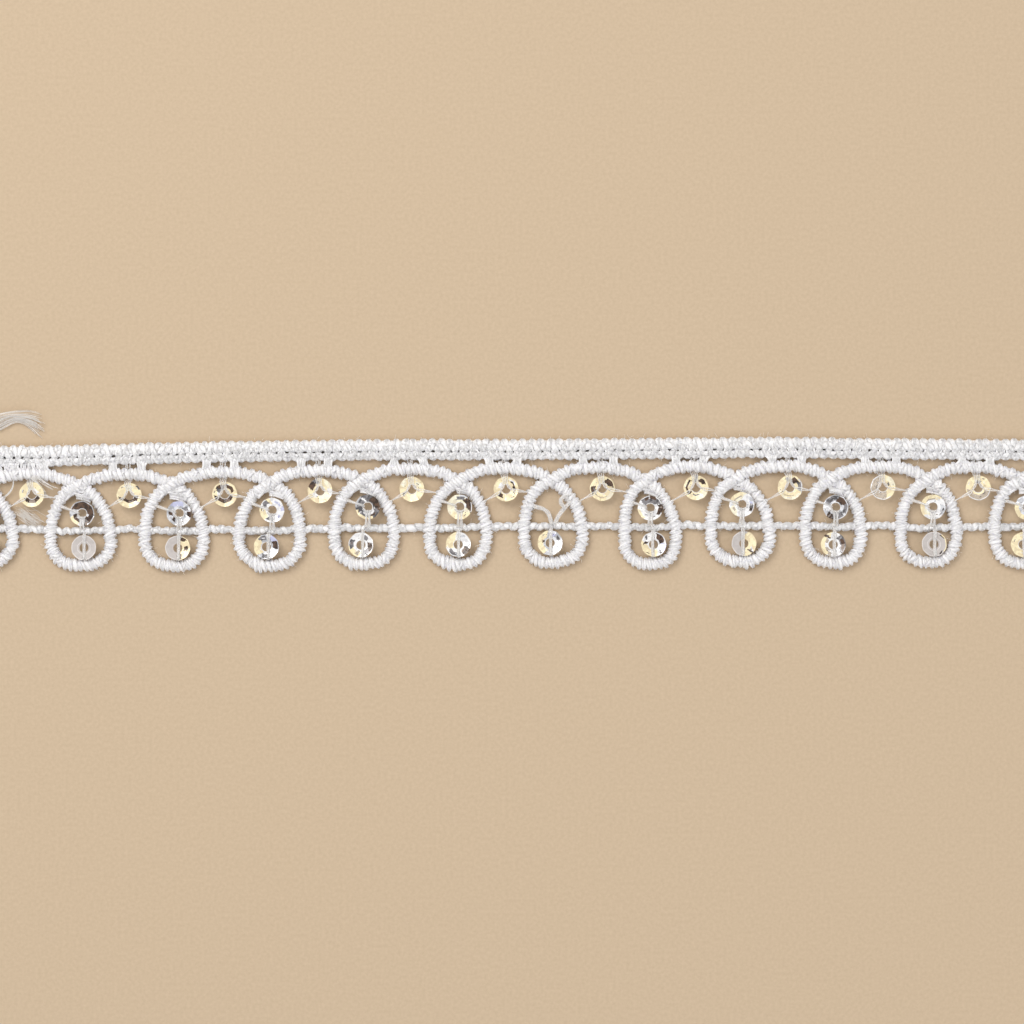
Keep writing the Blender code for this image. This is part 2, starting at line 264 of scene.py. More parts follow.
# The cup is flat round the hole and then rises in flat facets to its rim
FACETS = 8
FLAT_RADIUS = 0.62
CUP_BOTTOM = -0.085
CUP_SLOPE = 0.215
HALF_FILM = 0.035

# How far corners stray up and down, how much the facets' slopes vary, and the twist from ring to ring
UNEVEN = 0.0011
SLOPE_JITTER = 0.30
TWIRL = 0.02

# How much the side edges of a sequin's patches slant, in degrees per millimetre, in turn
PATCH_SLANTS = (30, -24, 14)

# Short slivers of painted reflection, of other films, on each sequin and how many of each, and the rings
# between which they start
REFLECTION_SLIVERS = (("grey", 3), ("white", 4), ("dark", 2))
REFLECTION_SLIVER_RINGS = (2, 10)

# The farthest that a sewing thread runs to a cord
LONGEST_THREAD = 9.0


def unit(vectors):
    return vectors / np.maximum(np.linalg.norm(vectors, axis=-1, keepdims=True), 1e-12)


def distances(points):
    """How far along a line each of its points lies."""
    return np.concatenate([[0], np.cumsum(np.linalg.norm(np.diff(points, axis=0), axis=1))])


def smooth_line(points, step):
    """Points one step apart along a Catmull-Rom curve through the given ones."""
    points = np.array(points, float)
    padded = np.vstack([2 * points[0] - points[1], points, 2 * points[-1] - points[-2]])
    fine = []
    for before, start, end, after in zip(padded, padded[1:], padded[2:], padded[3:]):
        part = np.linspace(0, 1, 24, endpoint=False)[:, None]
        bend = (2 * before - 5 * start + 4 * end - after) * part**2
        twist = (3 * start - before - 3 * end + after) * part**3
        fine.append(start + ((end - before) * part + bend + twist) / 2)
    fine = np.vstack([*fine, points[-1:]])
    lengths = distances(fine)
    places = np.linspace(0, lengths[-1], max(2, round(lengths[-1] / step) + 1))
    return np.stack([np.interp(places, lengths, column) for column in fine.T], axis=1)


class Run:
    """A cord's middle line on the table, read by the distance along it."""

    def __init__(self, points, lifts=None, wobble=0.0):
        self.points = smooth_line(points, 0.1)
        self.places = distances(self.points[:, :2])
        self.length = self.places[-1]
        ways = unit(np.gradient(self.points[:, :2], axis=0))
        self.sides = np.stack([ways[:, 1], -ways[:, 0]], axis=1)
        starts = rng.uniform(0, TURN, 3)
        waves = [np.sin(self.places * TURN / length + start) for length, start in zip(WAVE_LENGTHS, starts)]
        drift = sum(waves)
        self.points[:, :2] += self.sides * (wobble * drift / 2)[:, None]
        self.lifts = np.zeros(len(self.points)) if lifts is None else lifts(self.points)

    def read(self, places, values):
        return (np.interp(places, self.places, column) for column in values.T)

    def at(self, places, across=0.0, up=0.0):
        """Points at distances along the run, moved across it and up. All may be arrays of one shape."""
        x, y = self.read(places, self.points[:, :2])
        side_x, side_y = self.read(places, self.sides)
        lift = np.interp(places, self.places, self.lifts)
        return np.stack([x + side_x * across, y + side_y * across, up + lift], axis=-1)

    def side(self, places):
        side_x, side_y = self.read(places, self.sides)
        return np.stack([side_x, side_y, np.zeros_like(side_x)], axis=-1)


def crossing(loop):
    return np.array([loop[0] + loop[2], loop[3]])


def loop_side(loop, side):
    """One side of a loop from its crossing down: side is 1 for the right and -1 for the left."""
    centre, half_width, lean, top, bottom = loop[:5]
    centre, half_width, bottom = centre - LOOP_TRIM, half_width - LOOP_TRIM, bottom + 2 * LOOP_TRIM
    depths, widths = np.array(LOOP_SIDE).T
    shift = lean * np.maximum(0, 1 - depths / LOOP_LEAN_END)
    return np.stack([centre + shift + side * widths * half_width, top + depths * (bottom - top)], axis=1)


def arch_side(arch, loop):
    return crossing(loop) + np.array(ARCH_SIDE) * (np.array(arch[:2]) - crossing(loop))


def scallop_points():
    """The scallop cord's middle line, with a third number: +1 where it passes over itself and -1 under."""
    line = []
    for arch, loop, next_arch in zip(ARCHES, LOOPS, ARCHES[1:]):
        right, left = loop_side(loop, 1), loop_side(loop, -1)[::-1]
        line += [(*point, 0) for point in arch_side(arch, loop)[:0:-1]]
        line += [(*right[0], -1)]
        line += [(*point, 0) for point in np.vstack([right[1:], left[1:-1]])]
        line += [(*left[-1], 1)]
        line += [(*point, 0) for point in arch_side(next_arch, loop)[1:-1]]
    line.append((*ARCHES[-1][:2], 0))
    return line


def scallop_lifts(points):
    """How far the cord rises where it passes over itself, and sinks where it passes under."""
    lifts = np.zeros(len(points))
    for loop in LOOPS:
        near = np.maximum(0, 1 - np.linalg.norm(points[:, :2] - crossing(loop), axis=1) / CROSSING_REACH)
        ease = near * near * (3 - 2 * near)
        passes = np.abs(points[:, 2]) > 0.001
        lifts += np.where(points[:, 2] > 0, OVER_LIFT, UNDER_LIFT) * ease * passes
    return lifts


def bar_points():
    return sorted([(arch[0], arch[4]) for arch in ARCHES] + [(loop[0], loop[5]) for loop in LOOPS])


def heading_y(x):
    return float(np.interp(x, *zip(*HEADING_LINE)))


# Meshes of tubes. Each part is (corners, faces, texture coordinates of each face's corners)
def tubes(points, half_width, half_thick, outward, sides=6):
    """Flattened tubes with closed ends: a row of points, widths and outward directions for each strand."""
    strands, rings = points.shape[:2]
    half_width, half_thick = (np.broadcast_to(size, (strands, rings)) for size in (half_width, half_thick))
    along = unit(np.gradient(points, axis=1))
    outward = np.broadcast_to(outward, points.shape)
    outward = unit(outward - along * (outward * along).sum(-1, keepdims=True))
    across = np.cross(along, outward)
    turn = np.arange(sides) * TURN / sides
    wide = half_width[..., None, None] * np.cos(turn)[:, None] * across[:, :, None]
    thick = half_thick[..., None, None] * np.sin(turn)[:, None] * outward[:, :, None]
    corners = (points[:, :, None] + wide + thick).reshape(-1, 3)
    number = np.arange(strands * rings * sides).reshape(strands, rings, sides)
    turned = np.roll(number, -1, axis=2)
    quads = np.stack([number[:, :-1], number[:, 1:], turned[:, 1:], turned[:, :-1]], axis=-1).reshape(-1, 4)
    caps = [list(row) for row in number[:, 0]] + [list(row[::-1]) for row in number[:, -1]]
    steps = np.linalg.norm(np.diff(points, axis=1), axis=-1)
    lengths = np.concatenate([np.zeros((strands, 1)), np.cumsum(steps, axis=1)], axis=1)
    lengths = lengths + rng.uniform(0, 40, (strands, 1))
    u0, u1 = (np.repeat(ends[..., None], sides, axis=2) for ends in (lengths[:, :-1], lengths[:, 1:]))
    v0 = np.broadcast_to(np.arange(sides) / sides, u0.shape)
    v1 = v0 + 1 / sides
    uv = np.stack([np.stack(pair, axis=-1) for pair in ((u0, v0), (u1, v0), (u1, v1), (u0, v1))], axis=-2)
    uv = np.vstack([uv.reshape(-1, 2), np.zeros((2 * strands * sides, 2))])
    return corners, quads.tolist() + caps, uv


def new_object(name, data):
    made = bpy.data.objects.new(name, data)
    bpy.context.scene.collection.objects.link(made)
    return made


def piece(name, parts, material):
    """One object of thread, of several parts, riding on the body."""
    corners, faces, uv, start = [], [], [], 0
    for part_corners, part_faces, part_uv in parts:
        corners.append(part_corners)
        faces += [[index + start for index in face] for face in part_faces]
        uv.append(part_uv)
        start += len(part_corners)
    corners = np.vstack(corners)
    corners[:, 2] = np.maximum(corners[:, 2], LOWEST)
    mesh = bpy.data.meshes.new(name)
    mesh.from_pydata((corners * MM).tolist(), [], faces)
    layer = mesh.uv_layers.new(name="strand")
    layer.data.foreach_set("uv", np.vstack(uv).astype(np.float32).ravel())
    mesh.shade_smooth()
    mesh.materials.append(material)
    made = new_object(name, mesh)
    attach(made, "root")
    return made


def core(run, half_width, low, high, step=0.7, across=0.0, sides=10):
    """The padding under the stitches: a plain rounded bar along a run."""
    places = np.linspace(0, run.length, max(3, round(run.length / step)))
    points = run.at(places, across, (low + high) / 2)[None]
    return tubes(points, half_width, (high - low) / 2, UP, sides)


def zigzag(
    run, pitch, reach, rise, middle, widths, thickness=(0.07, 0.07),
    across=0.0, phase=0.0, slant=0.0, rings=9, jitter=1.0, sides=6, raised=(0.0, 0.0),
):
    """Satin stitches over a cord, from edge to edge and back.

    pitch is the distance between turns on one edge, or a function of the run's points that gives it. reach is
    how far the turns lie from the middle line, middle their height, and rise a strand's height above them.
    widths are a strand's widths at the left edge, in the middle and at the right edge, as shares of half the
    pitch. thickness is its half thickness in the middle and at the edges. slant is how far the right edge
    runs ahead. raised is how far the left and the right edge stand up.
    """
    pitches = pitch(run.points) if callable(pitch) else np.full(len(run.points), pitch)
    turns = np.concatenate([[0], np.cumsum(2 * np.diff(run.places) / (pitches[1:] + pitches[:-1]))])
    count = int(2 * turns[-1])
    edges = np.arange(count + 1) / 2 + phase + rng.normal(0, TURN_JITTER * jitter, count + 1)
    edges = np.interp(edges, turns, run.places)
    reaches = reach * (1 + rng.normal(0, REACH_JITTER * jitter, count + 1))
    for knot in KNOTS:
        off = np.linalg.norm(run.at(edges)[:, :2] - knot, axis=1)
        reaches += KNOT_REACH * np.exp(-((off / KNOT_SPREAD) ** 2))
    share_past = np.linspace(-TUCK, 1 + TUCK, rings)[None]
    share = np.clip(share_past, 0, 1)
    angle = share_past * math.pi
    sign = np.where(np.arange(count) % 2 == 0, 1.0, -1.0)[:, None]
    side = sign * np.cos(angle)
    places = edges[:-1, None] * (1 - share) + edges[1:, None] * share
    places += slant / 2 * sign * np.cos(share * math.pi)
    reaches = reaches[:-1, None] * (1 - share) + reaches[1:, None] * share
    heights = middle + rise * np.sin(angle) * (1 + rng.normal(0, RISE_JITTER * jitter, (count, 1)))
    heights += np.where(side > 0, raised[1], raised[0]) * side**2
    points = run.at(places, across + reaches * side, heights)
    outward = run.side(places) * side[..., None]
    outward[..., 2] = np.sin(angle)
    left, centre, right = widths
    width = centre + (np.where(side > 0, right, left) - centre) * side**2
    pitch_here = np.interp(places, run.places, pitches)
    width = width * (1 + rng.normal(0, WIDTH_JITTER * jitter, (count, 1))) * pitch_here / 4
    thick = thickness[0] + (thickness[1] - thickness[0]) * side**2
    return tubes(points, width, thick, outward, sides)


def scallop_pitch(points):
    """Stitches are closer on the loops than on the arches."""
    loop = np.clip((PITCH_CHANGE_Y - points[:, 1]) / PITCH_CHANGE, 0, 1)
    return ARCH_PITCH + (LOOP_PITCH - ARCH_PITCH) * loop


# Materials
def new_material(name):
    made = bpy.data.materials.new(name)
    made.use_nodes = True
    tree = made.node_tree
    return made, tree, tree.nodes["Principled BSDF"]


def add_node(tree, kind, **settings):
    node = tree.nodes.new(kind)
    for name, value in settings.items():
        if hasattr(node, name):
            setattr(node, name, value)
        else:
            node.inputs[name.replace("_", " ").title()].default_value = value
    return node


def set_inputs(node, **values):
    for name, value in values.items():
        node.inputs[name.replace("_", " ")].default_value = value


def object_point(tree):
    return tree.nodes.new("ShaderNodeTexCoord").outputs["Object"]


def noise(tree, point, scale, detail, roughness):
    made = add_node(tree, "ShaderNodeTexNoise", scale=scale, detail=detail, roughness=roughness)
    tree.links.new(point, made.inputs["Vector"])
    return made.outputs["Fac"]


def add_bump(tree, height, shader, strength, distance):
    bump = add_node(tree, "ShaderNodeBump", strength=strength, distance=distance)
    tree.links.new(height, bump.inputs["Height"])
    tree.links.new(bump.outputs["Normal"], shader.inputs["Normal"])


def add_tone(tree, value, shader, low, high, start, end):
    """Colours the shader from low to high as the value goes from start to end."""
    ramp = tree.nodes.new("ShaderNodeValToRGB")
    first, last = ramp.color_ramp.elements
    first.position, first.color = start, (*low, 1)
    last.position, last.color = end, (*high, 1)
    tree.links.new(value, ramp.inputs["Fac"])
    tree.links.new(ramp.outputs["Color"], shader.inputs["Base Color"])


def thread_material(name, light, shade, roughness, streaks=1.0, alpha=1.0):
    """White lustrous thread: fine filaments along each strand, and a faint uneven tone that mottles between
    the shade and the light colour as painted shade and painted glints.
    """
    made, tree, shader = new_material(name)
    place = add_node(tree, "ShaderNodeUVMap", uv_map="strand")
    stretch = add_node(tree, "ShaderNodeMapping", scale=(0.9, 9.0, 1.0))
    tree.links.new(place.outputs["UV"], stretch.inputs["Vector"])
    strands = noise(tree, stretch.outputs["Vector"], scale=2.2, detail=3.0, roughness=0.6)
    # Painted shade and painted glints: this cloud mottles the tone between the shade and the light colour
    cloud = noise(tree, object_point(tree), scale=2600.0, detail=2.0, roughness=0.5)
    blend = add_node(tree, "ShaderNodeMath", operation="ADD")
    tree.links.new(strands, blend.inputs[0])
    tree.links.new(cloud, blend.inputs[1])
    add_tone(tree, blend.outputs["Value"], shader, shade, light, 0.75, 1.15)
    add_bump(tree, strands, shader, strength=0.55 * streaks, distance=0.00006)
    set_inputs(
        shader, Roughness=roughness, Specular_IOR_Level=0.6, Alpha=alpha, Sheen_Weight=0.25,
        Sheen_Roughness=0.4, Subsurface_Weight=0.5, Subsurface_Radius=(1.0, 0.95, 0.9),
        Subsurface_Scale=0.00035,
    )
    return made


def film_and_reflection_material(name, colour, metallic, roughness, alpha, contrast, coat):
    """A facet of a clear sequin: its colour is a painted reflection, for gold and pale partly the film's own
    tint as well, and the cells vary its tone as painted sparkle.
    """
    made, tree, shader = new_material(f"film_{name}")
    point = object_point(tree)
    cells = add_node(tree, "ShaderNodeTexVoronoi", scale=3000.0)
    tree.links.new(point, cells.inputs["Vector"])
    split = tree.nodes.new("ShaderNodeSeparateColor")
    tree.links.new(cells.outputs["Color"], split.inputs["Color"])
    low = tuple(value * (1 - contrast) for value in colour)
    high = tuple(min(1, value * (1 + contrast / 2)) for value in colour)
    add_tone(tree, split.outputs["Red"], shader, low, high, 0.15, 0.75)
    cloud = noise(tree, point, scale=1500.0, detail=2.0, roughness=0.55)
    add_bump(tree, cloud, shader, strength=0.12, distance=0.00004)
    set_inputs(shader, Metallic=metallic, Roughness=roughness, Alpha=alpha)
    set_inputs(shader, Coat_Weight=coat, Coat_Roughness=0.06)
    return made


# The lace
def lace_core(scallop, heading, bar, material):
    parts = [
        core(scallop, 0.57, 0.02, 1.10),
        core(heading, 0.60, 0.02, 1.05, step=2, across=-0.43),
        core(heading, 0.38, 0.02, 0.98, step=2, across=0.76),
        core(bar, 0.22, 0.10, 0.70, step=1.2, sides=8),
    ]
    for x, top_y in bridges():
        run = Run([(x, top_y), (x, heading_y(x) - 0.75)])
        parts.append(core(run, 0.40, 0.10, 1.0, step=0.3, sides=8))
    made = piece("lace_core", parts, material)
    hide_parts("guipure_lace")
    return made


def bridges():
    return [(x, arch[1]) for arch in ARCHES for x in arch[2:4] if x is not None]


def bridge_stitches():
    """Short strands side by side from each arch up to the heading; both ends tuck into the cords."""
    share = np.linspace(0, 1, 11)
    end = np.abs(2 * share - 1)
    rows = []
    for x, top_y in bridges():
        for offset in (-0.33, -0.20, -0.07, 0.07, 0.19, 0.32):
            low, high = top_y + rng.normal(0, 0.06) + 0.25, heading_y(x) - 0.92 + rng.normal(0, 0.05)
            heights = 0.97 - 0.20 * end**2 + rng.normal(0, 0.03)
            lean = rng.normal(0, 0.22) * (share - 0.5)
            across = x + offset * (1 + 0.6 * end**3) + lean
            rows.append(np.stack([across, low + (high - low) * share, heights], axis=1))
    return tubes(np.array(rows), 0.17, 0.10, UP)


def closing_stitches():
    """The first whole arch is sewn close against the heading, with only tiny gaps left."""
    share = np.linspace(0, 1, 9)
    rows = []
    for x in np.arange(*CLOSED, 0.27):
        low, high = -3.1 - 0.02 * (x + 57) ** 2, heading_y(x) - 0.9
        lean = rng.normal(0, 0.22) * (share - 0.5)
        heights = 0.80 + 0.2 * np.cos(share * TURN) + rng.normal(0, 0.04)
        rows.append(np.stack([x + rng.normal(0, 0.05) + lean, low + (high - low) * share, heights], axis=1))
    return tubes(np.array(rows), 0.13, 0.11, UP)


def crossing_webs():
    """Stitches that close the corner under each crossing and leave it open on the sequin's left."""
    share = np.linspace(-1, 1, 9)
    rows, half_widths = [], []
    for number, loop in enumerate(LOOPS):
        if number == TORN_LOOP:
            continue
        middle = crossing(loop)
        last = middle[1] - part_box(f"sequin_upper_{number + 1:02d}")[1][1] / MM - 0.16
        # Middle's x and drop from the crossing; half length; half width; slope down to the right
        webs = [
            (0.10, 0.55, 0.75, 0.22, 0.0), (-0.35, 0.82, 0.60, 0.16, 0.0), (0.97, 0.86, 0.44, 0.18, 0.1),
            (0.62, (1.0 + last) / 2, 0.78, (last - 0.96) / 2, 0.25),
            (0.05, 0.50, 0.62, 0.13, 0.05), (0.05, 0.66, 0.66, 0.12, -0.05), (0.38, 1.04, 0.62, 0.13, 0.12),
            (-0.78, 1.06, 0.52, 0.17, -0.75), (-1.02, 1.20, 0.52, 0.20, -0.75),
            *((0.62, drop, 0.80, 0.13, 0.28) for drop in np.linspace(1.18, last, 3)),
        ]
        for x, drop, half, half_width, slope in webs:
            y = middle[1] - drop - slope * half * share - 0.10 * share**2 + rng.normal(0, 0.04) * share
            heights = 0.80 + 0.14 * (1 - share**2) + rng.normal(0, 0.03)
            rows.append(np.stack([middle[0] + x + half * share, y, heights], axis=1))
            half_widths.append([half_width])
    return tubes(np.array(rows), np.array(half_widths), 0.11, UP)


def tacking_stitches():
    """Short strands over the line between the heading's two rows, which close part of its holes."""
    share = np.linspace(-1, 1, 7)
    rows = []
    for x in np.arange(-65.6, 64.0, 0.42):
        if rng.uniform() > 0.58 + 0.30 * math.sin(x / 2.6 + 1.2):
            continue
        lean, half = rng.normal(0, 0.12), rng.uniform(0.26, 0.40)
        y = heading_y(x) - 0.29 + rng.normal(0, 0.05) + half * share
        heights = 1.00 - 0.16 * share**2 + rng.normal(0, 0.02)
        rows.append(np.stack([x + rng.normal(0, 0.08) + lean * share, y, heights], axis=1))
    return tubes(np.array(rows), 0.13, 0.10, UP)


def build_lace(white, painted_brighter_thread, padding):
    scallop = Run(scallop_points(), scallop_lifts, wobble=0.05)
    heading = Run(HEADING_LINE, wobble=0.02)
    bar = Run(bar_points(), wobble=0.06)
    base = lace_core(scallop, heading, bar, padding)
    over = zigzag(
        scallop, scallop_pitch, reach=0.63, rise=0.50, middle=0.55,
        widths=(1.22, 1.44, 1.36), thickness=(0.11, 0.17), slant=0.34, jitter=2.2,
    )
    under = zigzag(
        scallop, lambda points: UNDER_SPREAD * scallop_pitch(points), reach=0.50, rise=0.53, middle=0.58,
        widths=(0.72, 0.80, 0.72), phase=0.25, slant=-0.2, rings=7, jitter=3.0, sides=5,
    )
    upper = zigzag(
        heading, HEADING_PITCH, reach=0.67, rise=0.42, middle=0.54, widths=(1.28, 1.56, 1.20),
        thickness=(0.11, 0.17), across=-0.41, slant=0.12, jitter=1.4, raised=(0.0, 0.40),
    )
    upper_under = zigzag(
        heading, HEADING_PITCH, reach=0.50, rise=0.48, middle=0.53, widths=(0.9, 1.2, 0.9),
        across=-0.38, phase=0.5, rings=7, jitter=3.5, raised=(0.0, 0.40),
    )
    lower = zigzag(
        heading, HEADING_PITCH, reach=0.42, rise=0.40, middle=0.50, widths=(1.20, 1.50, 1.24),
        thickness=(0.11, 0.16), across=0.74, phase=0.5, slant=0.12, jitter=1.4, raised=(0.40, 0.0),
    )
    lower_under = zigzag(
        heading, HEADING_PITCH, reach=0.32, rise=0.45, middle=0.49, widths=(0.8, 1.2, 0.8),
        across=0.72, rings=7, jitter=3.5, raised=(0.40, 0.0),
    )
    thin = zigzag(
        bar, BAR_PITCH, reach=0.36, rise=0.30, middle=0.43,
        widths=(1.15, 1.4, 1.15), thickness=(0.11, 0.15), jitter=2.8,
    )
    thin_under = zigzag(
        bar, BAR_PITCH, reach=0.27, rise=0.32, middle=0.43,
        widths=(0.9, 1.1, 0.9), thickness=(0.10, 0.10), phase=0.5, jitter=3.0, rings=7,
    )
    # The scallop takes the thread painted darker, the heading and the bars the copy painted brighter
    stitched = [
        piece("scallop_stitches", [over], white),
        piece("scallop_under_stitches", [under, crossing_webs()], white),
        piece("heading_stitches", [upper, upper_under, lower, lower_under, tacking_stitches()], painted_brighter_thread),
        piece("bar_stitches", [thin, thin_under, bridge_stitches(), closing_stitches()], painted_brighter_thread),
    ]
    return scallop, bar, base, stitched


# The sequins and their threads
def read_look(look):
    """A look's film over all, and its patches as (start, end, inner, outer, film)."""
    film, *patches = look.split(", ")
    found = []
    for patch in patches:
        name, arc, ring = patch.split()
        start, end = map(int, arc.split("-"))
        inner, outer = (int(radius) / 100 for radius in ring.split("-"))
        found.append((start, end, inner, outer, name))
    return film, found


def patch_film(look, radius, direction):
    """The film at a radius and direction: the last patch that covers them, or else the one over all.
    Inside the second ring a sequin that is not milky takes white, a painted highlight on the lip round the
    hole.
    """
    film, patches = look
    # The lip round the hole is painted white, as a highlight
    if radius < RING_RADII[1] and film != "milky":
        film = "white"
    for index, (start, end, inner, outer, patch) in enumerate(patches):
        turned = direction + PATCH_SLANTS[index % 3] * (radius - 1)
        if (turned - start) % 360 <= ((end - start) % 360 or 360) and inner <= radius <= outer:
            film = patch
    return film


def tilt(points, lean):
    """Leans points about X and then about Y, as the solids are leant."""
    x, y = np.radians(lean)
    turn_x = np.array(((1, 0, 0), (0, math.cos(x), -math.sin(x)), (0, math.sin(x), math.cos(x))))
    turn_y = np.array(((math.cos(y), 0, math.sin(y)), (0, 1, 0), (-math.sin(y), 0, math.cos(y))))
    return points @ (turn_x @ turn_y).T


def sequin(node, centre, lean, look, films):
    """A faceted cup of clear film: rings of corners above and below, each quad split into two facets.
    Each facet takes the film of its look, whose colour paints the sequin's light and dark reflections.
    """
    rings = len(RING_RADII)
    milky = look[0] == "milky"
    relief = 0.2 if milky else 1.0
    angles = np.arange(SECTORS) * TURN / SECTORS + rng.uniform(0, 0.17)
    facet = TURN / FACETS
    slopes = CUP_SLOPE * (1 + rng.normal(0, SLOPE_JITTER * relief, FACETS))
    turned = (angles + rng.uniform(0, facet)) % TURN
    off_middle = turned % facet - facet / 2
    steep = slopes[(turned // facet).astype(int) % FACETS]
    twirl = rng.uniform(-TWIRL, TWIRL)
    layers = []
    for ring, (radius, straight) in enumerate(zip(RING_RADII, RING_STRAIGHT)):
        swirl = angles + twirl * (ring - 6) * (0 < ring < rings - 1)
        radii = radius * (1 + straight * (math.cos(facet / 2) / np.cos(off_middle) - 1))
        rise = np.maximum(0, radii * np.cos(off_middle) - FLAT_RADIUS)
        heights = CUP_BOTTOM + steep * rise + rng.normal(0, UNEVEN * relief, SECTORS)
        layers.append(np.stack([radii * np.cos(swirl), radii * np.sin(swirl), heights], axis=1))
    layers = np.array(layers).reshape(-1, 3)
    corners = np.vstack([layers + UP * HALF_FILM, layers - UP * HALF_FILM])
    below = rings * SECTORS
    names = list(FILMS_WITH_PAINTED_REFLECTIONS)
    faces, slots = [], []
    for ring in range(rings - 1):
        for here in range(SECTORS):
            there = (here + 1) % SECTORS
            a, b = ring * SECTORS + here, ring * SECTORS + there
            c, d = a + SECTORS, b + SECTORS
            split = [(a, c, d), (a, d, b)] if (here + ring) % 2 else [(a, c, b), (b, c, d)]
            x, y = corners[[a, b, c, d], :2].mean(axis=0)
            radius = (RING_RADII[ring] + RING_RADII[ring + 1]) / 2
            film = names.index(patch_film(look, radius, math.degrees(math.atan2(y, x))))
            for face in split:
                faces += [face, tuple(index + below for index in face[::-1])]
                slots += [film] * 2
    # Slivers of painted reflection over a few facets, never over a dark one
    for film, count in () if milky else REFLECTION_SLIVERS:
        for pick in rng.integers(SECTORS * REFLECTION_SLIVER_RINGS[0], SECTORS * REFLECTION_SLIVER_RINGS[1], count):
            wide = rng.integers(1, 4)
            if slots[4 * pick] != names.index("dark"):
                slots[4 * pick : 4 * (pick + wide)] = [names.index(film)] * (4 * wide)
    # The rim's edge takes pale, pearl on a milky sequin, and the hole's wall takes white: painted highlights
    # on the film's edges
    for here in range(SECTORS):
        there = (here + 1) % SECTORS
        rim, rim_next = below - SECTORS + here, below - SECTORS + there
        faces += [(rim, rim + below, rim_next + below, rim_next), (here, there, there + below, here + below)]
        slots += [names.index("pearl" if milky else "pale"), names.index("white")]
    name = node.replace("sequin", "cup")
    mesh = bpy.data.meshes.new(name)
    mesh.from_pydata(((tilt(corners, lean) + centre) * MM).tolist(), [], faces)
    for film in names:
        mesh.materials.append(films[film])
    mesh.polygons.foreach_set("material_index", slots)
    made = new_object(name, mesh)
    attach(made, "root")
    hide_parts(node)
    return made


def reach(start, degrees, runs):
    """Where a thread that leaves start in a direction meets the nearest cord's middle."""
    way = np.array([math.cos(math.radians(degrees)), math.sin(math.radians(degrees))])
    side = np.array([-way[1], way[0]])
    best = LONGEST_THREAD
    for run in runs:
        gap = run.points[:, :2] - start[:2]
        along, off = gap @ way, gap @ side
        met = (np.sign(off[:-1]) != np.sign(off[1:])) & (along[:-1] > 0.3)
        if met.any():
            best = min(best, along[:-1][met].min())
    return np.array([*(start[:2] + way * best), 0])


def stations(stops, rings):
    """Points on the smooth line through the stops."""
    line = smooth_line(stops, 0.05)
    return line[np.linspace(0, len(line) - 1, rings).round().astype(int)]


def sewing_thread(stops, radius, rings=16, strands=1, bundle=0.0, twist=1.5):
    """A thread through its stops, of one or more strands that wind round one another."""
    line = stations(stops, rings)
    way = unit(np.gradient(line, axis=0))
    side = unit(np.stack([-way[:, 1], way[:, 0], np.zeros(rings)], axis=1))
    length = np.linalg.norm(np.diff(line, axis=0), axis=1).sum()
    turns = np.linspace(0, 1, rings) * length * twist
    rows = []
    for strand in range(strands):
        angle = turns + TURN * strand / strands + rng.normal(0, 0.2)
        rows.append(line + side * (bundle * np.cos(angle))[:, None])
        rows[-1][:, 2] += bundle * 0.45 * np.sin(angle)
    return tubes(np.array(rows), radius, radius * 0.55, UP)


def beside(start, end, far, off):
    """A point at a distance from start towards end, moved off the line to its left."""
    way = unit((end - start)[:2])
    return start[:2] + way * far + np.array([-way[1], way[0]]) * off


def on_face(centre, lean, point, clear):
    """The point of the sequin's face over a point of the table, raised by clear."""
    offset = np.array(point)[:2] - centre[:2]
    about_x, about_y = np.radians(lean)
    climb = np.clip(np.linalg.norm(offset) - FLAT_RADIUS, 0, RING_RADII[-1] - FLAT_RADIUS)
    cup = CUP_BOTTOM + CUP_SLOPE * climb
    height = centre[2] + cup + offset[1] * math.tan(about_x) - offset[0] * math.tan(about_y) + HALF_FILM
    return (*point[:2], height + clear)


def arch_threads(centre, lean, runs):
    """Four strands from the arch that part beside the hole, two to the lower left and two to the right, and
    three from the arch up to the heading."""
    top, left, right = (reach(centre, degrees, runs) for degrees in ARCH_THREADS)
    depth = np.linalg.norm((top - centre)[:2])
    made = []
    for end, side, clear in ((left, -1, 0.08), (right, 1, 0.10)):
        for high, hip, low in ((0.34, 0.55, 0.11), (0.11, 0.38, -0.11)):
            stops = [
                (*beside(centre, top, depth - 0.2, -side * high), 0.40),
                (*beside(centre, top, depth - 0.85, -side * high), 0.80),
                on_face(centre, lean, beside(centre, top, 1.45, -side * high * 0.9), 0.18),
                on_face(centre, lean, beside(centre, top, 0.62, -side * (high * 0.7 + 0.04)), clear),
                on_face(centre, lean, centre[:2] + (side * hip, 0.05), clear),
                on_face(centre, lean, beside(centre, end, 0.95, -side * low), clear),
                on_face(centre, lean, beside(centre, end, 1.50, -side * low), clear),
                (*beside(centre, end, np.linalg.norm((end - centre)[:2]), side * low), 0.80),
            ]
            made.append(sewing_thread(stops, 0.078, 30))
    for aside in (-0.22, 0.02, 0.24):
        x = top[0] + aside + rng.normal(0, 0.04)
        stops = [(x, top[1] + 0.3, 0.5), (x + 0.03, top[1] + 0.85, 0.62), (x, heading_y(x) - 0.9, 0.5)]
        made.append(sewing_thread(stops, 0.085, 8))
    return made


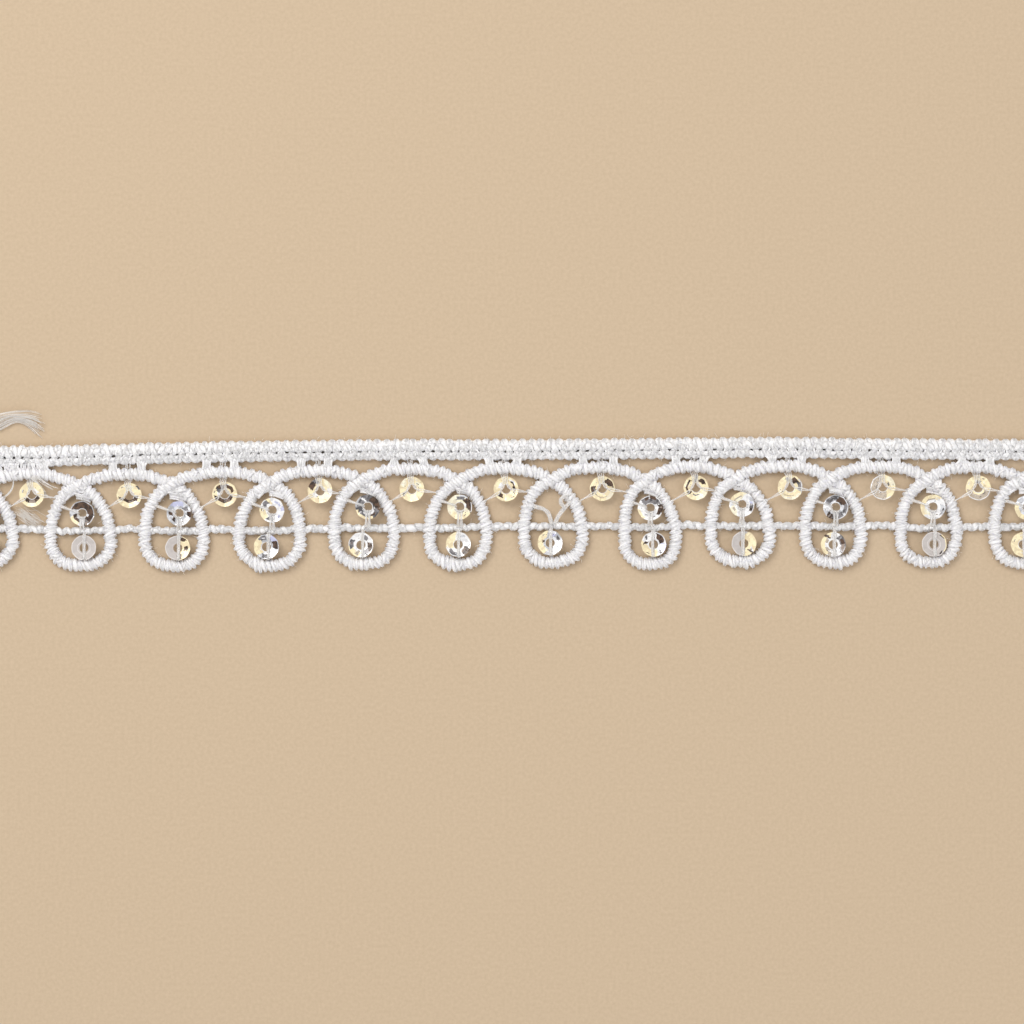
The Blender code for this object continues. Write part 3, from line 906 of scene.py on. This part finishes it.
def upper_threads(centre, lean, runs):
    """From the loop's left side and from the bar over the face into the hole, round the hole's lower lip, and
    under the sequin to the crossing."""
    top, left, bottom = (reach(centre, degrees, runs) for degrees in UPPER_THREADS)
    made = []
    for end, off, bundle in ((left, 0.0, 0.07), (bottom, -0.16, 0.08), (bottom, 0.17, 0.08)):
        enter = centre[:2] + unit((end - centre)[:2] + (0.6, -1.2)) * 0.44
        stops = [on_face(centre, lean, enter, -0.12)]
        stops += [on_face(centre, lean, beside(centre, end, far, off), 0.09) for far in (0.66, 1.05, 1.5)]
        stops.append((*beside(centre, end, np.linalg.norm((end - centre)[:2]), off * 1.2), 0.78))
        made.append(sewing_thread(stops, 0.115, 18, 2, bundle))
    lip = [centre[:2] + 0.56 * np.array((math.cos(angle), math.sin(angle))) for angle in (3.5, 4.2, 4.9, 5.5)]
    made.append(sewing_thread([on_face(centre, lean, point, 0.07) for point in lip], 0.11, 12, 2, 0.06))
    lows = ((0.4, -0.35), (1.2, -0.25), (1.7, -0.1))
    stops = [(*beside(centre, top, far, 0.05), centre[2] + low) for far, low in lows]
    made.append(sewing_thread([*stops, (*(top[:2] - (0, 0.3)), 0.7)], 0.075, 10))
    return made


def lower_threads(centre, lean, runs, aside):
    """A flat bundle from the bar down across the hole to the bottom of the loop."""
    top, bottom = (reach(centre, degrees, runs) for degrees in LOWER_THREADS)
    stops = [(*(top[:2] + (aside, 0)), 0.45)]
    for y, clear in ((1.35, 0.08), (0.62, 0.08), (0.0, 0.02), (-0.62, 0.08), (-1.35, 0.08)):
        stops.append(on_face(centre, lean, centre[:2] + (aside, y), clear))
    stops += [(*(bottom[:2] + (aside, 0.75)), 0.62), (*(bottom[:2] + (aside, 0.3)), 0.4)]
    return [sewing_thread(stops, 0.115, 26, strands=3, bundle=0.12, twist=0.5)]


def build_sequins(films, glassy, runs):
    rows = (
        ("arch", ARCH_LEANS, ARCH_LOOKS),
        ("upper", UPPER_LEANS, UPPER_LOOKS),
        ("lower", LOWER_LEANS, LOWER_LOOKS),
    )
    cups, threads = [], []
    for row, leans, looks in rows:
        for number, look in enumerate(looks):
            if look is None:
                continue
            node = f"sequin_{row}_{number + 1:02d}"
            centre = sum(np.array(corner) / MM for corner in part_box(node)) / 2
            lean = leans[number % len(leans)]
            cups.append(sequin(node, centre, lean, read_look(look), films))
            if row == "lower":
                threads += lower_threads(centre, lean, runs, LOWER_ASIDE[number])
            else:
                threads += {"arch": arch_threads, "upper": upper_threads}[row](centre, lean, runs)
    threads += slack_threads()
    return cups, piece("sewing_threads", threads, glassy)


def slack_threads():
    """The seventh loop has lost its upper sequin, and its threads hang slack down to the bar."""
    left = [(2.3, -6.5, 0.8), (2.97, -6.68, 0.95), (3.76, -6.95, 1.0), (4.29, -7.6, 0.95), (4.62, -8.75, 0.8)]
    hook = [
        (7.0, -5.6, 0.9), (6.3, -5.38, 1.2), (5.68, -5.68, 1.3), (5.64, -6.2, 1.25),
        (6.0, -6.7, 1.15), (5.62, -7.3, 1.05), (5.15, -8.05, 0.95), (4.85, -8.8, 0.8),
    ]
    inner = [(6.8, -5.45, 1.0), (6.68, -6.0, 1.1), (6.3, -6.5, 1.1), (5.8, -7.1, 1.0)]
    return [
        sewing_thread(left, 0.13, 22, strands=4, bundle=0.14),
        sewing_thread(hook, 0.13, 34, strands=4, bundle=0.13),
        sewing_thread(inner, 0.13, 14, strands=3, bundle=0.12),
    ]


# Loose filaments
def hairs(strands, radius):
    """Round hairs, kept above the floor."""
    points = np.array(strands)
    points[..., 2] = np.maximum(points[..., 2], radius + 0.02)
    return tubes(points, radius, radius, UP, 4)


def filaments(stops, count, spread, radius, fan=1.0):
    """Fine hairs that follow one another through the stops and part towards the end."""
    line = stations(stops, 14)
    share = np.linspace(0, 1, len(line))
    strands = []
    for _ in range(count):
        cut = rng.uniform(0.82, 1.0)
        base = np.stack([np.interp(share * cut, share, column) for column in line.T], axis=1)
        sway = rng.normal(0, spread, 3) * (1, 1, 0.35)
        open_out = rng.normal(0, spread, 3) * (1, 1, 0.35) * fan
        swing = np.sin(share * rng.uniform(2, 5) + rng.uniform(0, 6))[:, None]
        wave = swing * rng.normal(0, spread * 0.25, 3)
        strands.append(base + sway + open_out * share[:, None] ** 1.6 + wave * (1, 1, 0.3))
    return hairs(strands, radius)


def fan_of_hairs(upper, lower, clumps, count, radius):
    """Fine hairs in clumps between two curves, which part towards their ends."""
    high, low = (smooth_line(stops, 0.05) for stops in (upper, lower))
    share = np.linspace(0, 1, 22)
    strands = []
    for number in range(count):
        stray = rng.normal(0, 0.035) * (0.4 + share)
        mix = np.clip(clumps[number % len(clumps)] + stray, 0, 1)[:, None]
        cut = rng.uniform(0.86, 1.0)
        sides = [line[(share * cut * (len(line) - 1)).round().astype(int)] for line in (high, low)]
        wave = np.sin(share * rng.uniform(2, 4) + rng.uniform(0, 6))[:, None] * rng.normal(0, 0.05, 3)
        bulge = np.array((0.45, 0.1, 0.15)) * 4 * mix * (1 - mix) * share[:, None] ** 2
        strands.append(sides[0] * (1 - mix) + sides[1] * mix + wave + bulge)
    return hairs(strands, radius)


def fuzz(runs):
    """Short stray fibres along the edges of the cords."""
    made = []
    for run, count, across in runs:
        places = rng.uniform(0.5, run.length - 0.5, count)
        side = rng.choice((-1.0, 1.0), count)
        root = run.at(places, side * across, 0.6)
        out = run.side(places) * side[:, None] + unit(rng.normal(0, 1, (count, 3))) * (0.8, 0.8, 0.5)
        share = np.linspace(0, 1, 5)[None, :, None]
        length = rng.uniform(0.15, 0.55, (count, 1, 1))
        curl = unit(rng.normal(0, 1, (count, 3)))[:, None] * share**2 * length * 0.5
        points = root[:, None] + unit(out)[:, None] * share * length + curl
        points[..., 2] = np.maximum(points[..., 2], 0.05)
        made.append(tubes(points, 0.018, 0.018, UP, 3))
    return made


def frayed_end():
    """Loose filaments of a cut thread by the left end, lying on the table and in the first arch."""
    upper = [
        (-63.2, 0.3, 0.6), (-62.2, 2.4, 0.7), (-60.6, 3.6, 0.8),
        (-58.6, 4.2, 0.8), (-56.2, 4.5, 0.7), (-54.3, 4.25, 0.5),
    ]
    lower = [
        (-62.2, 0.3, 0.5), (-61.0, 1.1, 0.4), (-59.1, 2.2, 0.3),
        (-57.2, 3.1, 0.3), (-55.6, 2.4, 0.3), (-54.3, 0.9, 0.2),
    ]
    curl = [
        (-57.5, -3.3, 0.9), (-57.6, -4.3, 0.7), (-58.1, -5.1, 0.5), (-58.8, -5.6, 0.3), (-59.6, -5.8, 0.2),
    ]
    band = [(-55.4, -3.3, 1.2), (-54.6, -4.0, 1.25), (-54.0, -4.9, 1.1), (-53.5, -5.5, 0.9)]
    rays = [(-55.0, -3.0, 1.3), (-54.2, -3.6, 1.3), (-53.4, -4.1, 1.2), (-52.5, -4.5, 0.9)]
    patch = [(-56.8, -7.2, 0.5), (-56.1, -7.7, 0.6), (-55.4, -8.2, 0.6), (-54.7, -8.6, 0.5)]
    clumps = (0.04, 0.26, 0.40, 0.52, 0.64, 0.74, 0.84, 0.97)
    return [
        fan_of_hairs(upper, lower, clumps, count=56, radius=0.020),
        filaments(curl, count=4, spread=0.06, radius=0.035),
        filaments(band, count=14, spread=0.10, radius=0.028, fan=0.6),
        filaments(rays, count=6, spread=0.14, radius=0.030),
        filaments(patch, count=46, spread=0.34, radius=0.018, fan=1.1),
    ]


# The stage
def add_area(name, place, power, size, colour):
    """A soft square light that faces the trim's middle."""
    data = bpy.data.lights.new(name, "AREA")
    data.energy, data.size, data.color = power, size, colour
    light = new_object(name, data)
    light.location = place
    x, y, z = np.array(place) - (0, VIEW_MIDDLE_Y * MM, 0)
    light.rotation_euler = (math.atan2(math.hypot(x, y), z), 0, math.atan2(x, -y))


def build_stage():
    scene = bpy.context.scene
    scene.view_settings.view_transform = "Standard"
    world = bpy.data.worlds.new("studio")
    world.use_nodes = True
    set_inputs(world.node_tree.nodes["Background"], Color=(1.0, 0.985, 0.975, 1), Strength=0.735)
    scene.world = world
    add_area("key_light", (-0.20, 0.24, 0.42), power=1.35, size=0.30, colour=(1.0, 0.98, 0.95))
    add_area("fill_light", (0.30, -0.22, 0.36), power=0.35, size=0.30, colour=(0.95, 0.97, 1.0))

    mesh = bpy.data.meshes.new("floor")
    corners = [(-1, -1, 0), (1, -1, 0), (1, 1, 0), (-1, 1, 0)]
    mesh.from_pydata((np.array(corners) * FLOOR_HALF).tolist(), [], [(0, 1, 2, 3)])
    made, tree, shader = new_material("pale_floor")
    grain = noise(tree, object_point(tree), scale=2500.0, detail=3.0, roughness=0.6)
    add_tone(tree, grain, shader, (0.53, 0.41, 0.28), (0.585, 0.455, 0.315), 0.3, 0.7)
    set_inputs(shader, Roughness=0.85)
    mesh.materials.append(made)
    floor = new_object("floor", mesh)

    data = bpy.data.cameras.new("camera")
    data.lens, data.sensor_width, data.clip_start = LENS, SENSOR, 0.01
    camera = new_object("camera", data)
    camera.location = (0, VIEW_MIDDLE_Y * MM, VIEW_WIDTH * MM * LENS / SENSOR + VIEW_HEIGHT)
    scene.camera = camera


build_stage()
# The same white thread is made twice: the first copy is painted darker for the scallop, the second painted
# brighter for the heading and the bars. The difference is painted shade and painted light
white = thread_material(
    "white_thread_painted_darker", (0.955, 0.935, 0.935), (0.82, 0.795, 0.875), roughness=0.34, streaks=0.5
)
painted_brighter_thread = thread_material(
    "white_thread_painted_brighter", (1.0, 0.985, 0.98), (0.92, 0.90, 0.95), roughness=0.34, streaks=0.5
)
padding = thread_material("white_padding", (0.96, 0.945, 0.95), (0.86, 0.845, 0.88), roughness=0.45)
glassy = thread_material(
    "sewing_thread", (1.0, 0.98, 0.96), (0.93, 0.90, 0.87), roughness=0.22, streaks=0.4, alpha=0.42
)
wispy = thread_material("loose_filament", (1.0, 0.97, 0.93), (0.95, 0.91, 0.86), roughness=0.3, streaks=0.2)
films = {name: film_and_reflection_material(name, *values) for name, values in FILMS_WITH_PAINTED_REFLECTIONS.items()}

scallop, bar, base, stitched = build_lace(white, painted_brighter_thread, padding)
cups, sewing = build_sequins(films, glassy, (scallop, bar))
heading_run = Run(HEADING_LINE)
fibres = fuzz(((scallop, 420, 0.66), (heading_run, 120, 1.15), (bar, 80, 0.3)))
stray = piece("stray_fibres", fibres, wispy)
frayed = piece("frayed_filaments", frayed_end(), wispy)
